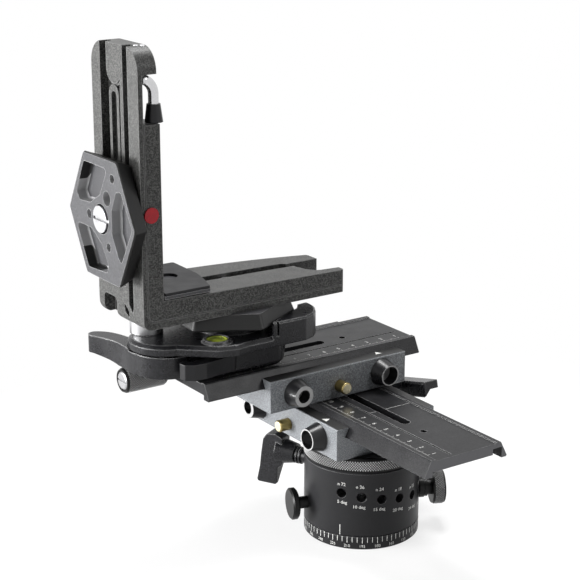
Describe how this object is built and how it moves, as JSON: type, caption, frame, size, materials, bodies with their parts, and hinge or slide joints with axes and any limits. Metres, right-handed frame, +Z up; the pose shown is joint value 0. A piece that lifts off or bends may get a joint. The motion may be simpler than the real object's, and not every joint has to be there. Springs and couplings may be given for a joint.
{
  "type": "panoramic tripod head",
  "caption": "Click-stop panoramic head: a pan unit with an index plunger, two crossed fine-adjust slides, a hexagonal quick-release clamp and an L-shaped camera bracket.",
  "frame": {"origin": "centre of the base's bottom face, at the mouth of the tripod socket on the pan axis", "axes": "+Z up along the pan axis; the upper plate and the bracket's foot run along X; the lower plate runs along Y with the end of its scale towards -Y"},
  "size_m": [0.1893, 0.1833, 0.2776],
  "materials": {
    "pan_black": "satin",
    "knurl_black": "satin",
    "block_grey": "satin",
    "plate_black": "satin",
    "boss_black": "satin",
    "cast_black": "satin",
    "bracket_grey": "satin",
    "hex_grey": "satin",
    "steel": "satin",
    "chrome": "polished",
    "brass": "satin",
    "grip_black": "matte",
    "pad_rubber": "matte",
    "level_yellow": "gloss",
    "dot_red": "gloss"
  },
  "bodies": {
    "base": {"base_ring": "pan_black", "tripod_bush": "steel", "spindle": "steel", "thrust_washer": "brass", "retaining_nut": "steel", "detent_drum": "steel"},
    "rotor": {"pan_body": "pan_black", "bearing_bush": "brass", "knurled_disc": "knurl_black", "disc_screw": "steel", "plunger_sleeve": "knurl_black", "friction_shoe": "brass", "lower_block": "block_grey", "lower_bosses": "boss_black", "lower_gib": "brass"},
    "plunger": {"index_plunger": "steel", "plunger_knob": "knurl_black", "plunger_spring": "steel"},
    "friction_screw": {"friction_knob": "knurl_black"},
    "pan_lock": {"pan_lock_lever": "cast_black"},
    "lower_lock": {"lower_lock_lever": "cast_black"},
    "lower_release": {"lower_release_button": "brass", "lower_release_spring": "steel"},
    "lower_nut": {"lower_half_nut": "brass"},
    "lower_slide": {"lower_plate": "plate_black", "lower_screw_bearing": "brass", "block_screws": "steel", "upper_block": "block_grey", "upper_bosses": "boss_black", "upper_gib": "brass"},
    "lower_screw": {"lower_lead_screw": "steel", "lower_fine_knob": "knurl_black"},
    "upper_lock": {"upper_lock_lever": "cast_black"},
    "upper_release": {"upper_release_button": "brass", "upper_release_spring": "steel"},
    "upper_nut": {"upper_half_nut": "brass"},
    "upper_slide": {"upper_plate": "plate_black", "upper_screw_bearing": "brass", "clamp_base": "cast_black", "clamp_screw": "steel", "clamp_deck": "cast_black", "bubble_level": "level_yellow", "lever_pin": "steel", "lower_hex_plate": "hex_grey", "lower_hex_screw": "steel", "l_bracket": "bracket_grey", "side_dot": "dot_red", "cap_screws": "steel"},
    "upper_screw": {"upper_lead_screw": "steel", "upper_fine_knob": "knurl_black", "upper_knob_screw": "steel"},
    "clamp_handle": {"clamp_lever": "cast_black"},
    "catch": {"safety_catch": "grip_black"},
    "upright_plate": {"upright_hex_plate": "hex_grey", "upright_hex_screw": "steel"},
    "camera_carrier": {"camera_plate": "hex_grey", "camera_pad": "pad_rubber", "camera_screw": "steel"},
    "top_toggle": {"top_lever": "chrome", "top_lever_grip": "grip_black"}
  },
  "joints": [
    {"name": "pan", "type": "hinge", "parent": "base", "child": "rotor", "pos_m": [0, 0, 0.03], "axis": [0, 0, 1], "continuous": true},
    {"name": "plunger_pull", "type": "slide", "parent": "rotor", "child": "plunger", "axis": [0.8949, -0.4462, 0], "range_m": [0, 0.004], "stiffness_N_per_m": 600, "springref_m": -0.002},
    {"name": "friction_turn", "type": "hinge", "parent": "rotor", "child": "friction_screw", "pos_m": [-0.03825, 0.0117, 0.0185], "axis": [-0.9563, 0.2924, 0], "range_deg": [-90, 270]},
    {"name": "pan_lock_swing", "type": "hinge", "parent": "rotor", "child": "pan_lock", "pos_m": [-0.02113, 0.03973, 0.035], "axis": [0.4695, -0.8829, 0], "range_deg": [0, 75]},
    {"name": "lower_lock_swing", "type": "hinge", "parent": "rotor", "child": "lower_lock", "pos_m": [0.045, 0.0243, 0.0689], "axis": [1, 0, 0], "range_deg": [0, 60]},
    {"name": "lower_release_push", "type": "slide", "parent": "rotor", "child": "lower_release", "axis": [1, 0, 0], "range_m": [0, 0.003], "stiffness_N_per_m": 400, "springref_m": -0.002},
    {"name": "lower_nut_drop", "type": "slide", "parent": "rotor", "child": "lower_nut", "axis": [0, 0, -1], "range_m": [0, 0.003]},
    {"name": "lower_travel", "type": "slide", "parent": "rotor", "child": "lower_slide", "axis": [0, -1, 0], "range_m": [-0.06, 0.01]},
    {"name": "lower_screw_turn", "type": "hinge", "parent": "lower_slide", "child": "lower_screw", "pos_m": [0.0208, 0.05, 0.06925], "axis": [0, -1, 0], "range_deg": [-14401, 2401]},
    {"name": "upper_lock_swing", "type": "hinge", "parent": "lower_slide", "child": "upper_lock", "pos_m": [-0.0082, 0.085, 0.09065], "axis": [0, -1, 0], "range_deg": [0, 50]},
    {"name": "upper_release_push", "type": "slide", "parent": "lower_slide", "child": "upper_release", "axis": [0, 1, 0], "range_m": [0, 0.003], "stiffness_N_per_m": 400, "springref_m": -0.002},
    {"name": "upper_nut_drop", "type": "slide", "parent": "lower_slide", "child": "upper_nut", "axis": [0, 0, -1], "range_m": [0, 0.003]},
    {"name": "upper_travel", "type": "slide", "parent": "lower_slide", "child": "upper_slide", "axis": [1, 0, 0], "range_m": [-0.04, 0.035]},
    {"name": "upper_screw_turn", "type": "hinge", "parent": "upper_slide", "child": "upper_screw", "pos_m": [-0.08, 0.0643, 0.091], "axis": [1, 0, 0], "range_deg": [-9601, 8401]},
    {"name": "clamp_swing", "type": "hinge", "parent": "upper_slide", "child": "clamp_handle", "pos_m": [-0.095, 0.05, 0.105], "axis": [0, 0, 1], "range_deg": [0, 70]},
    {"name": "catch_press", "type": "hinge", "parent": "upper_slide", "child": "catch", "pos_m": [-0.0716, 0.0234, 0.105], "axis": [0, 0, 1], "range_deg": [0, 18], "stiffness_Nm_per_rad": 0.05, "springref_deg": -11.46},
    {"name": "upright_plate_travel", "type": "slide", "parent": "upper_slide", "child": "upright_plate", "axis": [0, 0, 1], "range_m": [-0.02, 0.04]},
    {"name": "camera_plate_travel", "type": "slide", "parent": "upper_slide", "child": "camera_carrier", "axis": [1, 0, 0], "range_m": [0, 0.02]},
    {"name": "top_toggle_swing", "type": "hinge", "parent": "upper_slide", "child": "top_toggle", "pos_m": [-0.1181, 0.0267, 0.261], "axis": [0, -1, 0], "range_deg": [0, 25]}
  ],
  "couplings": [
    {"joint": "lower_nut_drop", "follows": "lower_release_push", "ratio": 1},
    {"joint": "upper_nut_drop", "follows": "upper_release_push", "ratio": 1},
    {"joint": "lower_screw_turn", "follows": "lower_travel", "rad_per_m": 4188.8},
    {"joint": "upper_screw_turn", "follows": "upper_travel", "rad_per_m": 4188.8}
  ]
}
